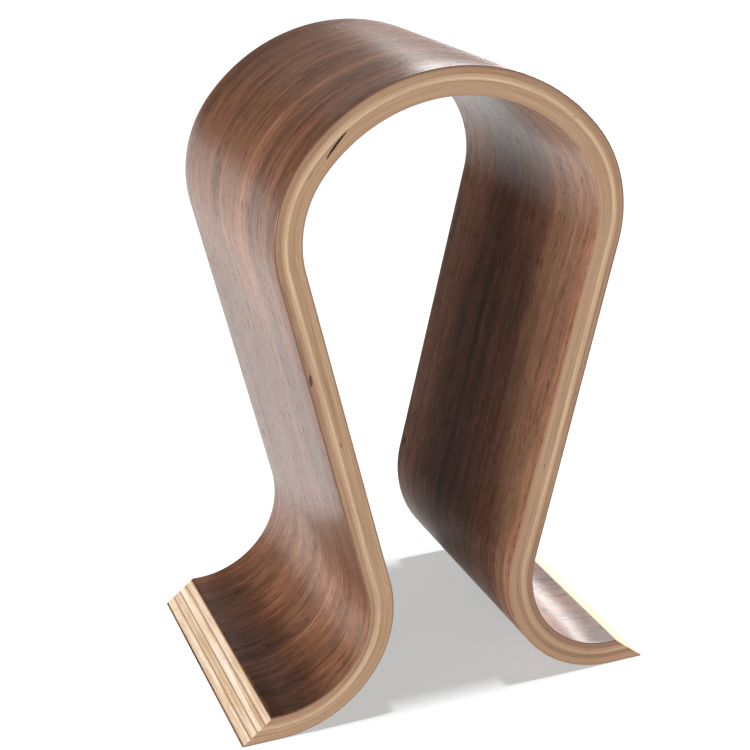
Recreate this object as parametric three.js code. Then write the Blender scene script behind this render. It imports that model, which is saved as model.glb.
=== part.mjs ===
// Headphone stand pressed from one stack of veneers: an omega-shaped strip that stands on two out-turned toes.
// Millimetres, +Z up, X across the legs, Y from front (-) to back (+). The origin is on the floor under the centre.
//
// The strip is a bent lamination. Four core plies lie between two walnut face veneers, and a thin glue line
// bonds each layer to the next. Every layer runs the whole length of the strip, from one toe to the other.
import * as THREE from "three";

// Overall size
const HEIGHT = 260;
const DEPTH = 121;

// The bend, measured on the strip's outer surface: the side that a headband rests on
const CROWN_RADIUS = 75;
const CROWN_HALF_ANGLE = THREE.MathUtils.degToRad(50.8);
const SHOULDER_RADIUS = 51.1;
const LEG_LEAN = THREE.MathUtils.degToRad(13.5);
const TOE_RADIUS = 38.5;
const TOE_FLAT = 2.1;
const TOE_BEVEL = THREE.MathUtils.degToRad(51.4);

// Layer thicknesses
const FACE_VENEER = 0.6;
const CORE_PLIES = [2.0, 2.4, 2.1, 2.25];
const GLUE_LINE = 0.15;

// Each round stretch of an outline is cut into twice this many straight steps.
const ARC_DIVISIONS = 9;

const WALNUT = { color: 0x6b4635, roughness: 0.42, metalness: 0 };
const TAN_CORE = { color: 0xc9a178, roughness: 0.62, metalness: 0 };
const CREAM_CORE = { color: 0xe2c49b, roughness: 0.62, metalness: 0 };
const GLUE = { color: 0x8a6242, roughness: 0.55, metalness: 0 };

// The stack, from the outer surface inwards.
const LAYERS = [
  { name: "outer_face_veneer", thickness: FACE_VENEER, finish: WALNUT },
  { name: "glue_line_1", thickness: GLUE_LINE, finish: GLUE },
  { name: "core_ply_1", thickness: CORE_PLIES[0], finish: TAN_CORE },
  { name: "glue_line_2", thickness: GLUE_LINE, finish: GLUE },
  { name: "core_ply_2", thickness: CORE_PLIES[1], finish: CREAM_CORE },
  { name: "glue_line_3", thickness: GLUE_LINE, finish: GLUE },
  { name: "core_ply_3", thickness: CORE_PLIES[2], finish: TAN_CORE },
  { name: "glue_line_4", thickness: GLUE_LINE, finish: GLUE },
  { name: "core_ply_4", thickness: CORE_PLIES[3], finish: CREAM_CORE },
  { name: "glue_line_5", thickness: GLUE_LINE, finish: GLUE },
  { name: "inner_face_veneer", thickness: FACE_VENEER, finish: WALNUT },
];
const THICKNESS = LAYERS.reduce((sum, layer) => sum + layer.thickness, 0);

// Centres of the bends on the right side. Every layer bends about the same centres.
function bendCentres() {
  const crown = new THREE.Vector2(0, HEIGHT - CROWN_RADIUS);
  const inward = CROWN_RADIUS - SHOULDER_RADIUS;
  const shoulder = new THREE.Vector2(
    crown.x + inward * Math.sin(CROWN_HALF_ANGLE),
    crown.y + inward * Math.cos(CROWN_HALF_ANGLE),
  );
  const across = SHOULDER_RADIUS + TOE_RADIUS;
  const toeHeight = TOE_RADIUS + THICKNESS;
  const drop = shoulder.y - across * Math.sin(LEG_LEAN) - toeHeight;
  const toe = new THREE.Vector2(
    shoulder.x + across * Math.cos(LEG_LEAN) - drop * Math.tan(LEG_LEAN),
    toeHeight,
  );
  return { crown, shoulder, toe };
}

// The strip's long edge at one depth below its outer surface, from the left toe over the crown to the right toe.
// The straight legs are the lines that each arc adds from the end of the arc before it.
function bendLine(depth) {
  const { crown, shoulder, toe } = bendCentres();
  const right = Math.PI / 2;
  const toeRadius = TOE_RADIUS + depth;
  const shoulderRadius = SHOULDER_RADIUS - depth;
  const tip = toe.x + TOE_FLAT + depth * Math.tan(TOE_BEVEL);
  const tipHeight = toe.y - toeRadius;
  const line = new THREE.Path();
  line.moveTo(-tip, tipHeight);
  line.lineTo(-toe.x, tipHeight);
  line.absarc(-toe.x, toe.y, toeRadius, -right, LEG_LEAN, false);
  line.absarc(-shoulder.x, shoulder.y, shoulderRadius, Math.PI + LEG_LEAN, right + CROWN_HALF_ANGLE, true);
  line.absarc(crown.x, crown.y, CROWN_RADIUS - depth, right + CROWN_HALF_ANGLE, right - CROWN_HALF_ANGLE, true);
  line.absarc(shoulder.x, shoulder.y, shoulderRadius, right - CROWN_HALF_ANGLE, -LEG_LEAN, true);
  line.absarc(toe.x, toe.y, toeRadius, Math.PI - LEG_LEAN, Math.PI + right, false);
  line.lineTo(tip, tipHeight);
  return line.getPoints(ARC_DIVISIONS);
}

// One layer between two bend lines, as wide as the stand is deep. Neighbours share a bend line, so they meet exactly.
function layerMesh(layer, outerLine, innerLine) {
  const outline = new THREE.Shape([...outerLine, ...[...innerLine].reverse()]);
  const geometry = new THREE.ExtrudeGeometry(outline, { depth: DEPTH, bevelEnabled: false });
  const mesh = new THREE.Mesh(geometry, new THREE.MeshStandardMaterial(layer.finish));
  mesh.name = layer.name;
  return mesh;
}

// The outlines are drawn upright and extruded towards the viewer, then turned to stand with the depth along Y.
function lamination() {
  const group = new THREE.Group();
  let depth = 0;
  let outerLine = bendLine(depth);
  for (const layer of LAYERS) {
    depth += layer.thickness;
    const innerLine = bendLine(depth);
    group.add(layerMesh(layer, outerLine, innerLine));
    outerLine = innerLine;
  }
  group.rotation.x = Math.PI / 2;
  group.position.y = DEPTH / 2;
  return group;
}

const stand = new THREE.Group();
stand.add(lamination());

export default stand;
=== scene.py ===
import math
import random
from dataclasses import dataclass

import bpy
import numpy as np
from mathutils import Matrix, Vector


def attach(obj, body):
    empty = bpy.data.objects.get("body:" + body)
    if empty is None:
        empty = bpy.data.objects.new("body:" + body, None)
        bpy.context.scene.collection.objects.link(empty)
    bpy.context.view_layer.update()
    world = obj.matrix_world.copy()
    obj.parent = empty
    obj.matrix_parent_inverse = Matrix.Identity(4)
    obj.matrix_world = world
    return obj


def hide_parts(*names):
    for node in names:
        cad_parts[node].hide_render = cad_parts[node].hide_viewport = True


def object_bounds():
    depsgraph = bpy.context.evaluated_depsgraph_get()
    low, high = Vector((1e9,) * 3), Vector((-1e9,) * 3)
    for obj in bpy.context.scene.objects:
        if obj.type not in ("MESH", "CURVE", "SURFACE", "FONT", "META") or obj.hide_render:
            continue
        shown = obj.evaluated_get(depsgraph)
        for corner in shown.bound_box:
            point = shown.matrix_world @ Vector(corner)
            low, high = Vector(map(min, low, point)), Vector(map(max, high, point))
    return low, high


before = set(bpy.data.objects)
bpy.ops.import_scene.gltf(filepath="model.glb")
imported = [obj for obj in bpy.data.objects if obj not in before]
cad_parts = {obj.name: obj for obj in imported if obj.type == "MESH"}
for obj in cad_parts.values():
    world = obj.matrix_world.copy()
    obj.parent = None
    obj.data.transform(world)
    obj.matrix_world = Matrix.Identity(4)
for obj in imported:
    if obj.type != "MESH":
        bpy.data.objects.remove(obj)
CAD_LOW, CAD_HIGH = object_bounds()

MM = 0.001

# The bend, measured on the strip's outer surface
HEIGHT = CAD_HIGH.z
WIDTH = CAD_HIGH.y - CAD_LOW.y
CROWN_RADIUS = 75 * MM
CROWN_HALF_ANGLE = math.radians(50.8)
SHOULDER_RADIUS = 51.1 * MM
LEG_LEAN = math.radians(13.5)
TOE_RADIUS = 38.5 * MM
TOE_FLAT = 2.1 * MM
TOE_BEVEL = math.radians(51.4)

# The layers from the outer surface inwards: CAD node, thickness
FACE_VENEER = 0.6 * MM
GLUE_LINE = 0.15 * MM
LAYERS = [
    ("outer_face_veneer", FACE_VENEER),
    ("glue_line_1", GLUE_LINE),
    ("core_ply_1", 2.0 * MM),
    ("glue_line_2", GLUE_LINE),
    ("core_ply_2", 2.4 * MM),
    ("glue_line_3", GLUE_LINE),
    ("core_ply_3", 2.1 * MM),
    ("glue_line_4", GLUE_LINE),
    ("core_ply_4", 2.25 * MM),
    ("glue_line_5", GLUE_LINE),
    ("inner_face_veneer", FACE_VENEER),
]
THICKNESS = sum(thickness for _, thickness in LAYERS)


def span(node):
    """The depths of a layer's outer and inner sides in the strip."""
    depth = 0.0
    for name, thickness in LAYERS:
        if name == node:
            return depth, depth + thickness
        depth += thickness
    raise ValueError(node)


# Finish of the edges: the rounding of the veneers' edges, how far the glue lies back, how much lower a
# ply's sanded edge is by the glue than in the middle, and how uneven it is
ARRIS = 0.4 * MM
GLUE_RECESS = 0.03 * MM
EDGE_CROWNING = 0.025 * MM
SANDING_RIPPLE = 0.012 * MM

# Spacing of the stations along the strip: everywhere, across a flaw, at the toes' ends, and the closest
# allowed
STEP = 1.5 * MM
FINE_STEP = 0.3 * MM
END_STEPS = (0.15 * MM, 0.5 * MM)
CLOSEST = 0.08 * MM

# Rows of points: through a ply's edge, round a veneer's arris, and over its face, as parts of the half
# width. Edges that turn by more than SHARP_ANGLE stay sharp.
EDGE_ROWS = 12
ARRIS_ANGLES = (0, 18, 36, 54, 72, 90)
FACE_ROWS = (0.72, 0.44, 0.15)
SHARP_ANGLE = math.radians(35)

# Small flaws scattered over the plies' edges, besides those that the photo shows
SMALL_FLAWS = 26

random.seed(7)


# ---------------------------------------------------------------- the bent strip

def bend_centres():
    """Centres of the crown, shoulder and toe bends on the right side, as (x, z)."""
    crown = np.array([0.0, HEIGHT - CROWN_RADIUS])
    inward = CROWN_RADIUS - SHOULDER_RADIUS
    shoulder = crown + inward * np.array([math.sin(CROWN_HALF_ANGLE), math.cos(CROWN_HALF_ANGLE)])
    across = SHOULDER_RADIUS + TOE_RADIUS
    toe_z = TOE_RADIUS + THICKNESS
    drop = shoulder[1] - across * math.sin(LEG_LEAN) - toe_z
    toe_x = shoulder[0] + across * math.cos(LEG_LEAN) - drop * math.tan(LEG_LEAN)
    return crown, shoulder, np.array([toe_x, toe_z])


def bend_stretches():
    """The right half from the crown to the toe's tip: (length at mid thickness, function of 0..1).

    Each function gives the outer surface's point and the direction that goes straight into the strip."""
    crown, shoulder, toe = bend_centres()
    right = math.pi / 2

    def arc(centre, radius, start, end, side):
        def at(t):
            angle = start + (end - start) * t
            out = np.array([math.sin(angle), math.cos(angle)])
            return centre + radius * out, side * out
        mean_radius = radius + side * THICKNESS / 2
        return abs(end - start) * mean_radius, at

    def line(start, end, inward):
        return float(np.linalg.norm(end - start)), lambda t: (start + (end - start) * t, inward)

    leg_out = np.array([math.cos(LEG_LEAN), -math.sin(LEG_LEAN)])
    leg_top = shoulder + SHOULDER_RADIUS * leg_out
    leg_foot = toe - TOE_RADIUS * leg_out
    tip_flat = TOE_FLAT + THICKNESS / 2 * math.tan(TOE_BEVEL)
    tan_bevel = math.tan(TOE_BEVEL)

    def toe_end(t):
        foot = toe + np.array([TOE_FLAT * t, -TOE_RADIUS])
        return foot, np.array([t * tan_bevel, -1.0])

    return [
        arc(crown, CROWN_RADIUS, 0, CROWN_HALF_ANGLE, -1),
        arc(shoulder, SHOULDER_RADIUS, CROWN_HALF_ANGLE, right + LEG_LEAN, -1),
        line(leg_top, leg_foot, -leg_out),
        arc(toe, TOE_RADIUS, LEG_LEAN - right, -2 * right, 1),
        (tip_flat, toe_end),
    ]


STRETCHES = bend_stretches()
HALF_LENGTH = sum(length for length, _ in STRETCHES)


def strip_station(s):
    """Outer point and inward direction, as (x, z) pairs, at s along the strip from the crown's top."""
    left = abs(s)
    for length, at in STRETCHES:
        if left <= length or at is STRETCHES[-1][1]:
            point, inward = at(min(left / length, 1.0))
            break
        left -= length
    mirror = np.array([math.copysign(1.0, s), 1.0])
    return point * mirror, inward * mirror


def stations(spots=()):
    """Places along the strip: every bend's ends, steps between them, and fine steps near each spot."""
    marks = [0.0]
    for length, _ in STRETCHES:
        steps = max(2, round(length / STEP))
        start = marks[-1]
        marks += [start + length * (k + 1) / steps for k in range(steps)]
    for reach in END_STEPS:
        marks.append(HALF_LENGTH - reach)
    both_ways = set(marks) | {-mark for mark in marks}
    for centre, reach in spots:
        count = int(reach / FINE_STEP)
        both_ways |= {centre + k * FINE_STEP for k in range(-count, count + 1)}
    ordered = sorted(both_ways)
    kept = [ordered[0]]
    for mark in ordered[1:-1]:
        if mark - kept[-1] > CLOSEST:
            kept.append(mark)
    return kept + [ordered[-1]]


def place(s, y, depth):
    """The point at s along, y across and depth into the strip."""
    point, inward = strip_station(s)
    x, z = point + inward * depth
    return x, y, z


# ---------------------------------------------------------------- pieces

def ease(gap):
    """How far a rounded arris drops at this distance from the edge."""
    gap = min(max(gap, 0.0), ARRIS)
    return ARRIS - math.sqrt(ARRIS * ARRIS - (ARRIS - gap) ** 2)


def mesh_from_rings(name, rings, coordinates, flaws=None):
    """A closed piece from a row of rings. coordinates are the points' places in the strip laid out straight,
    and flaws how far each point lies in a flaw, from 0 to 1."""
    count = len(rings[0])
    points = [p for ring in rings for p in ring]
    faces = []
    for i in range(len(rings) - 1):
        a, b = i * count, (i + 1) * count
        faces += [(a + j, a + (j + 1) % count, b + (j + 1) % count, b + j) for j in range(count)]
    faces.append(tuple(range(count))[::-1])
    last = (len(rings) - 1) * count
    faces.append(tuple(range(last, last + count)))
    mesh = bpy.data.meshes.new(name)
    mesh.from_pydata(points, [], faces)
    mesh.update()
    layer = mesh.attributes.new("strip", "FLOAT_VECTOR", "POINT")
    layer.data.foreach_set("vector", np.array(coordinates, dtype=np.float32).ravel())
    mark = mesh.attributes.new("flaw", "FLOAT", "POINT")
    mark.data.foreach_set("value", np.array(flaws or [0.0] * len(points), dtype=np.float32))
    mesh.shade_smooth()
    mesh.set_sharp_from_angle(angle=SHARP_ANGLE)
    piece = bpy.data.objects.new(name, mesh)
    bpy.context.scene.collection.objects.link(piece)
    return piece


def solid_coordinate(s, y, depth):
    """Where a point lies in the strip laid out straight. The toe's bevel cuts the layers at a slant."""
    _, inward = strip_station(s)
    slant = inward[0] if abs(s) > HALF_LENGTH - STRETCHES[-1][0] else 0.0
    return s + slant * (depth - THICKNESS / 2), y, depth


def sweep(name, places, ring_at, flaw_at=None):
    """A piece from the rings that ring_at gives at the places along the strip, as (y, depth) pairs."""
    rings = []
    coordinates = []
    flaws = []
    for s in places:
        ring = ring_at(s)
        rings.append([place(s, y, depth) for y, depth in ring])
        coordinates += [solid_coordinate(s, y, depth) for y, depth in ring]
        if flaw_at:
            flaws += [flaw_at(s, y, depth) for y, depth in ring]
    return mesh_from_rings(name, rings, coordinates, flaws or None)


def face_veneer(name, top, bottom, shows_on_top):
    """A walnut veneer. Its showing side has rounded arrises along both edges and both toes."""
    half = WIDTH / 2
    quarter = [ARRIS * (1 - math.cos(math.radians(angle))) for angle in ARRIS_ANGLES]
    across = [-half + q for q in quarter] + [-half * row for row in FACE_ROWS] + [0.0]
    across += [-y for y in reversed(across[:-1])]

    def ring_at(s):
        end = HALF_LENGTH - abs(s)
        show = []
        for y in across:
            drop = max(ease(half - abs(y)), ease(end))
            show.append((y, top + drop if shows_on_top else bottom - drop))
        hidden = bottom if shows_on_top else top
        ring = show + [(half, hidden), (-half, hidden)]
        return ring if shows_on_top else ring[::-1]

    return sweep(name, stations(), ring_at)


def glue_line(name, top, bottom):
    """A film of glue that lies slightly back from the strip's long edges."""
    half = WIDTH / 2 - GLUE_RECESS
    ring = [(-half, top), (half, top), (half, bottom), (-half, bottom)]
    return sweep(name, stations(), lambda s: ring)


@dataclass
class Flaw:
    """A knot or split that reaches the sawn edge of a core ply."""

    ply: int
    side: int  # -1 for the front edge, 1 for the back edge
    s: float
    depth: float
    length: float
    height: float
    slant: float
    sink: float
    # How dark the flaw is: the wood's own colour for knots and streaks, painted shade for the split's gap
    stain_and_gap_shade: float

    def strength(self, s, y, depth):
        """1 in the middle of the flaw, falling to 0 at its rim."""
        if y * self.side <= 0:
            return 0.0
        along = (s - self.s) / (self.length / 2)
        across = (depth - self.depth - self.slant * (s - self.s)) / (self.height / 2)
        return max(0.0, 1.0 - math.sqrt(along * along + across * across) ** 3)


def ripple(s, y, depth, seed):
    """Fine unevenness that sanding leaves on the sawn edges, from -1 to 1."""
    # Each wave's angle per metre along, angle per metre of depth, and shift from one ply to the next
    waves = ((140, 900, 1.3), (410, 2600, 4.1), (905, 4100, 2.2))
    shift = 1.7 if y > 0 else 0.0
    total = sum(math.sin(along * s + deep * depth + ply * seed + shift) for along, deep, ply in waves)
    return total / len(waves)


def core_ply(name, index, top, bottom, flaws):
    """A core ply. Its front and back edges show, each slightly crowned between the glue lines."""
    half = WIDTH / 2
    thickness = bottom - top
    own = [flaw for flaw in flaws if flaw.ply == index]

    def edge_y(side, s, depth):
        middle = (depth - top) / thickness * 2 - 1
        sink = EDGE_CROWNING * middle ** 4 + SANDING_RIPPLE * (1 + ripple(s, side, depth, index))
        sink += sum(flaw.sink * flaw.strength(s, side, depth) ** 0.5 for flaw in own)
        return side * (half - sink)

    def ring_at(s):
        depths = [top + thickness * k / EDGE_ROWS for k in range(EDGE_ROWS + 1)]
        front = [(edge_y(-1, s, depth), depth) for depth in reversed(depths)]
        back = [(edge_y(1, s, depth), depth) for depth in depths]
        return front + back

    def flaw_at(s, y, depth):
        return max((flaw.stain_and_gap_shade * min(1.0, 2 * flaw.strength(s, y, depth)) for flaw in own), default=0.0)

    spots = [(flaw.s, flaw.length * 0.7) for flaw in own]
    return sweep(name, stations(spots), ring_at, flaw_at)


# ---------------------------------------------------------------- materials

# Most values of a noise lie between these
NOISE_RANGE = (0.3, 0.7)


class Graph:
    """Short names for the nodes of one material."""

    def __init__(self, name):
        self.material = bpy.data.materials.new(name)
        self.material.use_nodes = True
        self.tree = self.material.node_tree
        self.shader = self.tree.nodes["Principled BSDF"]

    def link(self, source, socket):
        if isinstance(source, (int, float, tuple)):
            socket.default_value = source
        else:
            self.tree.links.new(source, socket)

    def attribute(self, name, output):
        node = self.tree.nodes.new("ShaderNodeAttribute")
        node.attribute_name = name
        return node.outputs[output]

    def math(self, operation, a, b=0.0):
        node = self.tree.nodes.new("ShaderNodeMath")
        node.operation = operation
        self.link(a, node.inputs[0])
        self.link(b, node.inputs[1])
        return node.outputs[0]

    def split(self, vector):
        node = self.tree.nodes.new("ShaderNodeSeparateXYZ")
        self.link(vector, node.inputs[0])
        return node.outputs

    def join(self, x, y, z):
        node = self.tree.nodes.new("ShaderNodeCombineXYZ")
        for value, socket in zip((x, y, z), node.inputs):
            self.link(value, socket)
        return node.outputs[0]

    def scaled(self, vector, scale):
        node = self.tree.nodes.new("ShaderNodeVectorMath")
        node.operation = "MULTIPLY"
        self.link(vector, node.inputs[0])
        node.inputs[1].default_value = scale
        return node.outputs[0]

    def noise(self, vector, scale, detail=2.0, roughness=0.5, seed=0.0):
        node = self.tree.nodes.new("ShaderNodeTexNoise")
        node.noise_dimensions = "4D"
        self.link(self.scaled(vector, scale), node.inputs["Vector"])
        node.inputs["W"].default_value = seed
        node.inputs["Scale"].default_value = 1.0
        node.inputs["Detail"].default_value = detail
        node.inputs["Roughness"].default_value = roughness
        return node.outputs[0]

    def ramp(self, factor, stops, smooth=False):
        node = self.tree.nodes.new("ShaderNodeValToRGB")
        node.color_ramp.interpolation = "EASE" if smooth else "LINEAR"
        elements = node.color_ramp.elements
        while len(elements) > 1:
            elements.remove(elements[-1])
        for k, (position, colour) in enumerate(stops):
            element = elements[0] if k == 0 else elements.new(position)
            element.position = position
            if isinstance(colour, (int, float)):
                colour = (colour, colour, colour)
            element.color = (*colour, 1.0)
        self.link(factor, node.inputs[0])
        return node.outputs[0]

    def mix(self, factor, a, b, blend="MIX"):
        node = self.tree.nodes.new("ShaderNodeMix")
        node.data_type = "RGBA"
        node.blend_type = blend
        self.link(factor, node.inputs[0])
        self.link(a if not isinstance(a, tuple) else (*a, 1.0), node.inputs[6])
        self.link(b if not isinstance(b, tuple) else (*b, 1.0), node.inputs[7])
        return node.outputs[2]

    def remap(self, value, low, high, new_low, new_high):
        node = self.tree.nodes.new("ShaderNodeMapRange")
        for source, socket in zip((value, low, high, new_low, new_high), node.inputs):
            self.link(source, socket)
        return node.outputs[0]

    def swing(self, noise, amount):
        """Noise as a change from -amount to amount."""
        return self.remap(noise, *NOISE_RANGE, -amount, amount)

    def bump(self, height, distance, strength=1.0):
        node = self.tree.nodes.new("ShaderNodeBump")
        node.inputs["Strength"].default_value = strength
        node.inputs["Distance"].default_value = distance
        self.link(height, node.inputs["Height"])
        self.link(node.outputs[0], self.shader.inputs["Normal"])


# Colours. The inner veneer's wood is slightly less red than the outer veneer's.
DARK_WALNUT = (0.036, 0.016, 0.010)
MID_WALNUT = (0.122, 0.052, 0.028)
WARM_WALNUT = (0.238, 0.106, 0.056)
PALE_WALNUT = (0.385, 0.200, 0.122)
INNER_DARK = (0.035, 0.014, 0.008)
INNER_MID = (0.135, 0.062, 0.038)
INNER_WARM = (0.265, 0.134, 0.078)
OUTER_TONES = (DARK_WALNUT, MID_WALNUT, WARM_WALNUT, PALE_WALNUT)
INNER_TONES = (INNER_DARK, INNER_MID, INNER_WARM, PALE_WALNUT)
OUTER_SAWN_EDGE = (0.175, 0.08, 0.046)
INNER_SAWN_EDGE = (0.33, 0.195, 0.125)

BARE_PLY = (0.93, 0.85, 0.74)
WHITE_PLY = (0.82, 0.66, 0.51)
PALE_PLY = (0.58, 0.395, 0.24)
CREAM_PLY = (0.44, 0.275, 0.158)
TAN_PLY = (0.355, 0.197, 0.105)
BROWN_PLY = (0.235, 0.12, 0.06)
GLUE_STAIN = (0.24, 0.125, 0.058)
DARK_GLUE = (0.28, 0.155, 0.085)
PALE_GLUE = (0.42, 0.26, 0.155)
# Dark of knots and streaks, and painted shade inside the split
FLAW_STAIN_AND_GAP_SHADE = (0.035, 0.018, 0.010)

# The tones from 0 to 1 are spread over the four walnut colours, and those of a ply from 0 to PLY_TONE_TOP
WALNUT_TONES = (0.0, 0.38, 0.7, 1.0)
PLY_TONE_TOP = 2.0

# Band along the veneers' edges that shows sawn wood, depth to which glue soaks into a ply, and the blend
# over which the toes' cut ends begin
SAWN_BAND = (0.5 * MM, 0.1 * MM)
SOAKED = 0.26 * MM
END_BLEND = (0.3 * MM, 0.1 * MM)

# Stretch of the front and back edges at the right toe where the plies turn browner
BROWNED_STRETCH = (205 * MM, 265 * MM)


def cut_end(g, s, depth):
    """1 on the bevelled ends of the strip at the toes and 0 elsewhere."""
    slant = g.math("MULTIPLY", g.math("SUBTRACT", depth, THICKNESS / 2), math.tan(TOE_BEVEL))
    past_end = g.math("SUBTRACT", g.math("ABSOLUTE", s), slant)
    start, full = END_BLEND
    return g.remap(past_end, HALF_LENGTH - start, HALF_LENGTH - full, 0.0, 1.0)


def walnut(name, seed, tones, bands_and_shading, figure_and_shading, contrast, edge_tone, gloss):
    """Lacquered walnut veneer, its grain along the strip.

    bands are (place across 0..1, tone 0..1) stops; on the inner veneer they hold painted light and shade
    besides the grain. figure is the change of tone from the crown's top to a toe's tip, with 0.5 for no
    change, holding painted light and shade besides the grain, and contrast how strong the streaks are over
    the same length.
    edge_tone is the colour of the sawn edges. gloss is two distances from the crown's top and the
    refractive index that the lacquer has up to the first and from the second."""
    g = Graph(name)
    strip = g.attribute("strip", "Vector")
    s, y, depth = g.split(strip)
    wander = g.noise(strip, (7, 14, 0), 2.0, seed=seed)
    drift = g.math("MULTIPLY", g.math("SUBTRACT", wander, 0.5), 12 * MM)
    y_bent = g.math("ADD", y, drift)
    grain = g.join(s, y_bent, depth)

    # Tone: the stops across, the change along, and streaks from broad ones to fine ones. Apart from the
    # grain, the stops and the change hold painted light and shade.
    across = g.remap(y_bent, -WIDTH / 2, WIDTH / 2, 0.0, 1.0)
    band_and_shading = g.ramp(across, bands_and_shading, smooth=True)
    from_crown = g.math("DIVIDE", g.math("ABSOLUTE", s), HALF_LENGTH)
    along = g.ramp(from_crown, figure_and_shading, smooth=True)
    broad = g.noise(grain, (4, 110, 0), 3.0, 0.55, seed=seed + 1)
    streak = g.noise(grain, (14, 420, 0), 4.0, 0.62, seed=seed + 2)
    fine = g.noise(grain, (60, 1300, 0), 3.0, 0.7, seed=seed + 3)
    mottle = g.noise(grain, (75, 190, 0), 3.0, 0.6, seed=seed + 6)
    streaks = g.math("ADD", g.swing(broad, 0.17), g.swing(streak, 0.15))
    streaks = g.math("ADD", streaks, g.swing(fine, 0.19))
    streaks = g.math("ADD", streaks, g.swing(mottle, 0.11))
    streaks = g.math("MULTIPLY", streaks, g.ramp(from_crown, contrast, smooth=True))
    tone = g.math("ADD", g.math("ADD", band_and_shading, g.math("SUBTRACT", along, 0.5)), streaks)
    colour = g.ramp(tone, list(zip(WALNUT_TONES, tones)))
    hue = g.noise(grain, (12, 260, 0), 2.0, 0.6, seed=seed + 7)
    tint = g.ramp(hue, [(0.35, (0.93, 1.03, 0.98)), (0.65, (1.08, 0.97, 1.03))])
    colour = g.mix(1.0, colour, tint, "MULTIPLY")

    # Pores: short dark dashes in groups
    pores = g.noise(grain, (190, 3000, 0), 1.0, 0.5, seed=seed + 4)
    groups = g.noise(grain, (18, 210, 0), 2.0, 0.5, seed=seed + 5)
    reach = g.remap(groups, 0.35, 0.65, 0.66, 0.52)
    pore = g.remap(g.math("SUBTRACT", pores, reach), 0.0, 0.06, 0.0, 1.0)
    colour = g.mix(g.math("MULTIPLY", pore, 0.75), colour, DARK_WALNUT)

    start, full = SAWN_BAND
    edge = g.remap(g.math("ABSOLUTE", y), WIDTH / 2 - start, WIDTH / 2 - full, 0.0, 0.8)
    colour = g.mix(edge, colour, edge_tone)
    g.link(colour, g.shader.inputs["Base Color"])
    rough = g.math("ADD", g.remap(streak, *NOISE_RANGE, 0.25, 0.32), g.math("MULTIPLY", pore, 0.15))
    g.link(rough, g.shader.inputs["Roughness"])
    g.link(g.remap(g.math("ABSOLUTE", s), *gloss), g.shader.inputs["IOR"])
    relief = g.math("SUBTRACT", g.math("MULTIPLY", fine, 0.35), pore)
    g.bump(relief, 0.05 * MM, 0.5)
    return g.material


def ply_edge(name, seed, top, bottom, tones, end_paleness_and_highlight):
    """Sawn edge of a core ply: fibres in pale and brown threads, with dark flaws. top and bottom are the
    ply's depths in the strip, and end_paleness_and_highlight is how much paler its freshly cut end at the
    toe is; part of this paleness is a painted highlight on the bevel."""
    g = Graph(name)
    strip = g.attribute("strip", "Vector")
    s, y, depth = g.split(strip)
    wander = g.noise(strip, (12, 12, 300), 2.0, seed=seed)
    drift = g.math("MULTIPLY", g.math("SUBTRACT", wander, 0.5), 0.9 * MM)
    fibre = g.join(s, y, g.math("ADD", depth, drift))

    # Tone: threads, clouds and specks, the banding through the strip, the browner toe and the paler cut
    # ends, whose paleness is partly a painted highlight
    thread = g.noise(fibre, (16, 22, 3200), 3.0, 0.6, seed=seed + 1)
    cloud = g.noise(fibre, (24, 30, 560), 3.0, 0.55, seed=seed + 2)
    speck = g.noise(fibre, (420, 420, 6500), 1.0, 0.5, seed=seed + 3)
    tone = g.math("ADD", g.remap(thread, *NOISE_RANGE, 0.15, 0.85), g.swing(cloud, 0.3))
    tone = g.math("ADD", tone, g.remap(speck, 0.35, 0.65, -0.12, 0.12))
    layer = g.ramp(g.math("DIVIDE", depth, THICKNESS), PLY_BANDS)
    tone = g.math("ADD", tone, g.math("SUBTRACT", layer, 0.5))
    tone = g.math("SUBTRACT", tone, g.remap(s, *BROWNED_STRETCH, 0.0, 0.5))
    end = cut_end(g, s, depth)
    tone = g.math("ADD", tone, g.math("MULTIPLY", end, end_paleness_and_highlight))
    stops = [(level / PLY_TONE_TOP, colour) for level, colour in tones]
    colour = g.ramp(g.math("DIVIDE", tone, PLY_TONE_TOP), stops)

    # Glue soaks a thin margin by each glue line, which shows more on the cut ends
    from_glue = g.math("MINIMUM", g.math("SUBTRACT", depth, top), g.math("SUBTRACT", bottom, depth))
    soaked = g.remap(from_glue, 0.0, SOAKED, 0.25, 0.0)
    soaked = g.math("MULTIPLY", soaked, g.remap(end, 0.0, 1.0, 1.0, 2.6))
    colour = g.mix(soaked, colour, GLUE_STAIN)
    colour = g.mix(g.attribute("flaw", "Fac"), colour, FLAW_STAIN_AND_GAP_SHADE)
    g.link(colour, g.shader.inputs["Base Color"])
    g.link(g.remap(thread, *NOISE_RANGE, 0.44, 0.56), g.shader.inputs["Roughness"])
    g.bump(g.math("ADD", thread, g.math("MULTIPLY", speck, 0.5)), 0.05 * MM, 0.45)
    return g.material


def glue(name):
    """Cured glue, darker on the toes' cut ends."""
    g = Graph(name)
    strip = g.attribute("strip", "Vector")
    s, _, depth = g.split(strip)
    tone = g.noise(strip, (60, 60, 0), 3.0, 0.6, seed=40)
    low, high = NOISE_RANGE
    colour = g.ramp(tone, [(low, DARK_GLUE), (high, PALE_GLUE)])
    colour = g.mix(g.math("MULTIPLY", cut_end(g, s, depth), 0.8), colour, GLUE_STAIN)
    g.link(colour, g.shader.inputs["Base Color"])
    g.link(g.remap(tone, low, high, 0.45, 0.6), g.shader.inputs["Roughness"])
    g.bump(tone, 0.03 * MM, 0.3)
    return g.material
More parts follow.
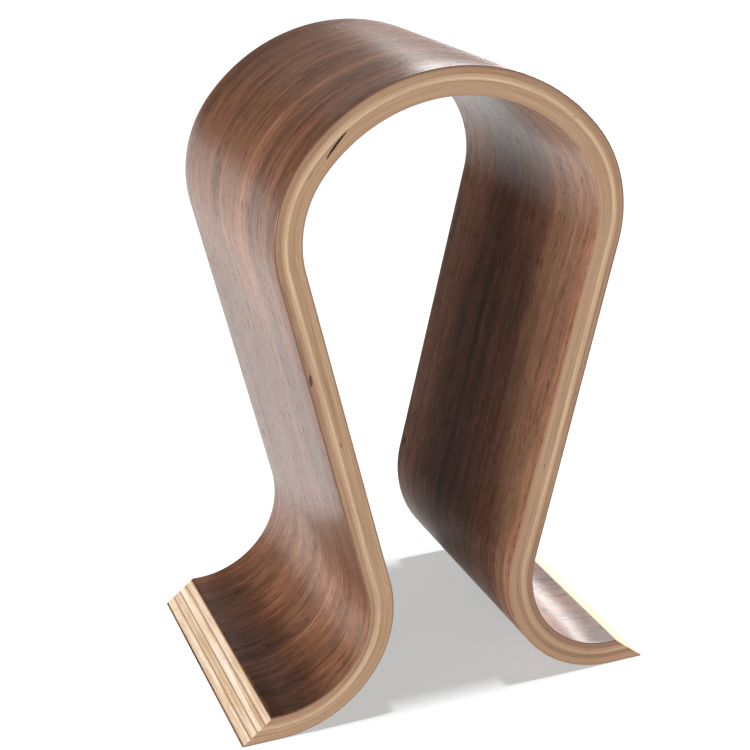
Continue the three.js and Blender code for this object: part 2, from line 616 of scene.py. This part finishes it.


# Walnut tone across the strip from the front edge to the back edge, and its change from the crown to the
# toe. Besides the grain, the inner tone across and both changes along hold painted light and shade.
OUTER_BANDS = [
    (0.0, 0.42), (0.1, 0.5), (0.2, 0.46), (0.32, 0.56),
    (0.45, 0.5), (0.6, 0.54), (0.8, 0.5), (1.0, 0.5),
]
# Along the outer face: the brighter stretch over each toe's bend is a painted highlight, the dark toe tips
# are painted shade, and the legs are darker
OUTER_FIGURE_AND_PAINTED_SHADING = [
    (0.0, 0.46), (0.2, 0.5), (0.36, 0.52), (0.46, 0.38),
    (0.72, 0.4), (0.8, 0.62), (0.87, 0.57), (0.94, 0.27),
]
# Across the inner face: the pale and dark streaks are grain, but the lighter front part is painted light and
# the dark part behind the middle is painted shade of one leg's shadow on the other
INNER_BANDS_AND_PAINTED_SHADING = [
    (0.0, 0.66), (0.2, 0.68), (0.26, 0.6), (0.29, 0.7), (0.33, 0.54), (0.45, 0.4),
    (0.58, 0.2), (0.67, 0.3), (0.8, 0.48), (0.9, 0.55), (1.0, 0.6),
]
# Along the inner face: brighter at the shoulders, painted light, and darker down the toes, painted shade low
# under the arch
INNER_FIGURE_AND_PAINTED_SHADING = [(0.0, 0.5), (0.3, 0.62), (0.45, 0.5), (0.62, 0.52), (0.74, 0.46), (0.84, 0.36), (1.0, 0.33)]

# Strength of the streaks from the crown to the toe, and the lacquer's index there
OUTER_CONTRAST = [(0.0, 0.85), (0.38, 1.0), (0.46, 0.5), (0.7, 0.5), (0.8, 1.0)]
INNER_CONTRAST = [(0.0, 0.7), (0.3, 0.85), (1.0, 0.9)]
OUTER_GLOSS = (58 * MM, 92 * MM, 1.39, 1.36)
INNER_GLOSS = (58 * MM, 106 * MM, 1.62, 1.075)

# Tone of the core plies through the strip's thickness from the outer side to the inner side
PLY_BANDS = [
    (0.0, 0.2), (0.12, 0.3), (0.2, 0.42), (0.3, 0.42), (0.35, 0.55), (0.38, 0.8), (0.44, 0.8), (0.48, 0.65),
    (0.52, 0.6), (0.6, 0.57), (0.7, 0.65), (0.73, 0.2), (0.86, 0.15), (0.93, 0.35),
]

# Colours of a ply from the darkest fibres to a freshly cut end. The palest, reached on the cut ends, are
# partly a painted highlight on the bevel.
TAN = [(0.0, BROWN_PLY), (0.5, TAN_PLY), (1.0, CREAM_PLY), (1.5, PALE_PLY), (2.0, WHITE_PLY)]
CREAM = [(0.0, TAN_PLY), (0.5, CREAM_PLY), (1.0, PALE_PLY), (1.5, WHITE_PLY), (2.0, BARE_PLY)]
MATERIALS = {
    "outer_face_veneer": walnut(
        "outer_walnut", 11, OUTER_TONES, OUTER_BANDS, OUTER_FIGURE_AND_PAINTED_SHADING,
        OUTER_CONTRAST, OUTER_SAWN_EDGE, OUTER_GLOSS,
    ),
    "inner_face_veneer": walnut(
        "inner_walnut", 23, INNER_TONES, INNER_BANDS_AND_PAINTED_SHADING, INNER_FIGURE_AND_PAINTED_SHADING,
        INNER_CONTRAST, INNER_SAWN_EDGE, INNER_GLOSS,
    ),
    # The last number is how much paler the cut end is, partly a painted highlight on the bevel
    "core_ply_1": ply_edge("tan_ply_edge_1", 31, *span("core_ply_1"), TAN, 1.4),
    "core_ply_2": ply_edge("cream_ply_edge_2", 52, *span("core_ply_2"), CREAM, 0.7),
    "core_ply_3": ply_edge("tan_ply_edge_3", 73, *span("core_ply_3"), TAN, 1.1),
    "core_ply_4": ply_edge("cream_ply_edge_4", 94, *span("core_ply_4"), CREAM, 1.0),
}
GLUE_MATERIAL = glue("glue_film")


# ---------------------------------------------------------------- the stand

def edge_flaws():
    """The split, the knot and two brown streaks above it on the front edge, and small flaws scattered over
    both edges."""
    top_1, _ = span("core_ply_1")
    top_3, _ = span("core_ply_3")
    flaws = [
        # The split is sunk 0.9 mm, and its near-black is painted shade inside the gap
        Flaw(3, -1, -51 * MM, top_3 + 0.95 * MM, 12.5 * MM, 0.9 * MM, -0.13, 0.9 * MM, 1.0),
        Flaw(1, -1, -143.5 * MM, top_1 + 0.9 * MM, 5.2 * MM, 1.5 * MM, 0.12, 0.12 * MM, 0.9),
        Flaw(1, -1, -132 * MM, top_1 + 0.7 * MM, 15 * MM, 0.7 * MM, 0.03, 0.04 * MM, 0.4),
        Flaw(1, -1, -112 * MM, top_1 + 0.5 * MM, 18 * MM, 0.6 * MM, 0.01, 0.03 * MM, 0.35),
    ]
    for _ in range(SMALL_FLAWS):
        ply = random.choice((1, 2, 3, 4))
        low, _ = span(f"core_ply_{ply}")
        flaws.append(Flaw(
            ply,
            random.choice((-1, 1)),
            random.uniform(-0.95, 0.95) * HALF_LENGTH,
            low + random.uniform(0.5, 1.6) * MM,
            random.uniform(1.5, 5.0) * MM,
            random.uniform(0.3, 0.7) * MM,
            random.uniform(-0.06, 0.06),
            random.uniform(0.05, 0.2) * MM,
            random.uniform(0.25, 0.6),
        ))
    return flaws


def build_stand():
    """All eleven layers, each tied to its node, body and slot."""
    flaws = edge_flaws()
    for node, _ in LAYERS:
        top, bottom = span(node)
        if node.startswith("core_ply"):
            piece = core_ply("edge_of_" + node, int(node[-1]), top, bottom, flaws)
        elif node.startswith("glue"):
            piece = glue_line("film_of_" + node, top, bottom)
        else:
            piece = face_veneer("walnut_" + node, top, bottom, node.startswith("outer"))
        piece.data.materials.append(MATERIALS.get(node, GLUE_MATERIAL))
        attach(piece, "root")
        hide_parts(node)


build_stand()


# ---------------------------------------------------------------- camera, floor and light

CAMERA_AZIMUTH = math.radians(-21.13)
CAMERA_ELEVATION = math.radians(21.45)
CAMERA_ROLL = math.radians(-0.56)
CAMERA_DISTANCE = 0.6355
CAMERA_LENS = 73.45
CAMERA_AIM = Vector((-0.0088, 0.0004, 0.1229))
SENSOR_WIDTH = 36

# The floor runs to the horizon. Its colour, and a faint glow that keeps it near white
FLOOR_RADIUS = 40
FLOOR_DROP = 0.1 * MM
FLOOR_COLOUR = (0.84, 0.86, 0.87, 1)
FLOOR_GLOW_COLOUR = (0.95, 1, 1, 1)
FLOOR_GLOW = 0.32
WORLD_STRENGTH = 0.06
WHITE = (1, 1, 1, 1)


def from_side(azimuth, elevation):
    """Unit direction from the object: azimuth 0 is the front, positive is to the right."""
    flat = math.cos(elevation)
    return Vector((math.sin(azimuth) * flat, -math.cos(azimuth) * flat, math.sin(elevation)))


def aimed(direction, roll=0.0):
    """Rotation of a camera or light that looks back along a direction."""
    return direction.to_track_quat("Z", "Y").to_matrix() @ Matrix.Rotation(roll, 3, "Z")


def make_camera():
    data = bpy.data.cameras.new("camera")
    data.sensor_width = SENSOR_WIDTH
    data.lens = CAMERA_LENS
    camera = bpy.data.objects.new("camera", data)
    direction = from_side(CAMERA_AZIMUTH, CAMERA_ELEVATION)
    turn = aimed(direction, CAMERA_ROLL).to_4x4()
    camera.matrix_world = Matrix.Translation(CAMERA_AIM + direction * CAMERA_DISTANCE) @ turn
    bpy.context.scene.collection.objects.link(camera)
    bpy.context.scene.camera = camera


def softbox(name, azimuth, elevation, distance, width, height, watts, receivers):
    """A rectangular light at a direction in degrees and a distance in metres from the middle of the stand,
    aimed at it. It lights only the objects in the receivers collection."""
    data = bpy.data.lights.new(name, "AREA")
    data.shape = "RECTANGLE"
    data.size = width
    data.size_y = height
    data.energy = watts
    light = bpy.data.objects.new(name, data)
    direction = from_side(math.radians(azimuth), math.radians(elevation))
    centre = Vector((0, 0, HEIGHT / 2))
    light.matrix_world = Matrix.Translation(centre + direction * distance) @ aimed(direction).to_4x4()
    bpy.context.scene.collection.objects.link(light)
    light.light_linking.receiver_collection = receivers
    return light


def overhead(name, strength, spread, receivers):
    """Soft light from straight above. It lights only the objects in the receivers collection."""
    data = bpy.data.lights.new(name, "SUN")
    data.energy = strength
    data.angle = spread
    light = bpy.data.objects.new(name, data)
    light.location = (0, 0, 2)
    bpy.context.scene.collection.objects.link(light)
    light.light_linking.receiver_collection = receivers


def make_floor():
    below = (0, 0, -FLOOR_DROP)
    bpy.ops.mesh.primitive_circle_add(vertices=96, radius=FLOOR_RADIUS, fill_type="NGON", location=below)
    floor = bpy.context.object
    floor.name = "floor"
    g = Graph("pale_floor")
    g.shader.inputs["Base Color"].default_value = FLOOR_COLOUR
    g.shader.inputs["Roughness"].default_value = 0.9
    g.shader.inputs["Specular IOR Level"].default_value = 0.1
    g.shader.inputs["Emission Color"].default_value = FLOOR_GLOW_COLOUR
    g.shader.inputs["Emission Strength"].default_value = FLOOR_GLOW
    floor.data.materials.append(g.material)
    return floor


def make_world():
    world = bpy.data.worlds.new("studio")
    bpy.context.scene.world = world
    world.use_nodes = True
    background = world.node_tree.nodes["Background"]
    background.inputs["Color"].default_value = WHITE
    background.inputs["Strength"].default_value = WORLD_STRENGTH


def collection_of(name, objects):
    group = bpy.data.collections.new(name)
    for item in objects:
        group.objects.link(item)
    return group


make_camera()
floor = make_floor()
make_world()
pieces = [item for item in bpy.context.scene.objects if item.type == "MESH" and item is not floor]
stand_only = collection_of("stand_only", pieces)
floor_only = collection_of("floor_only", [floor])

# The stand and the floor are lit apart. Each line gives azimuth, elevation, distance, width, height and
# watts.
softbox("key", -77, 4, 1.1, 0.5, 0.28, 14, stand_only)
softbox("rim", 137, 36, 1.2, 0.95, 0.48, 9.2, stand_only)
softbox("side", 110, 30, 1.2, 0.6, 0.6, 29, stand_only)
softbox("low_card", 138, 6, 1.43, 0.5, 0.34, 5.2, stand_only)
softbox("high_card", 176, 35, 1.16, 0.75, 0.2, 0.38, stand_only)
softbox("fill", 25, 22, 1.4, 0.8, 0.8, 6.9, stand_only)
softbox("top", 0, 88, 1.2, 0.8, 0.8, 2.4, stand_only)

# The floor's own light: an even wash, and a pool round the stand that only the floor blocks
overhead("floor_wash", 2.7, math.radians(5), floor_only)
pool = softbox("floor_pool", 0, 90, 0.9, 0.3, 0.3, 2, floor_only)
pool.light_linking.blocker_collection = floor_only

bpy.context.scene.view_settings.view_transform = "Standard"
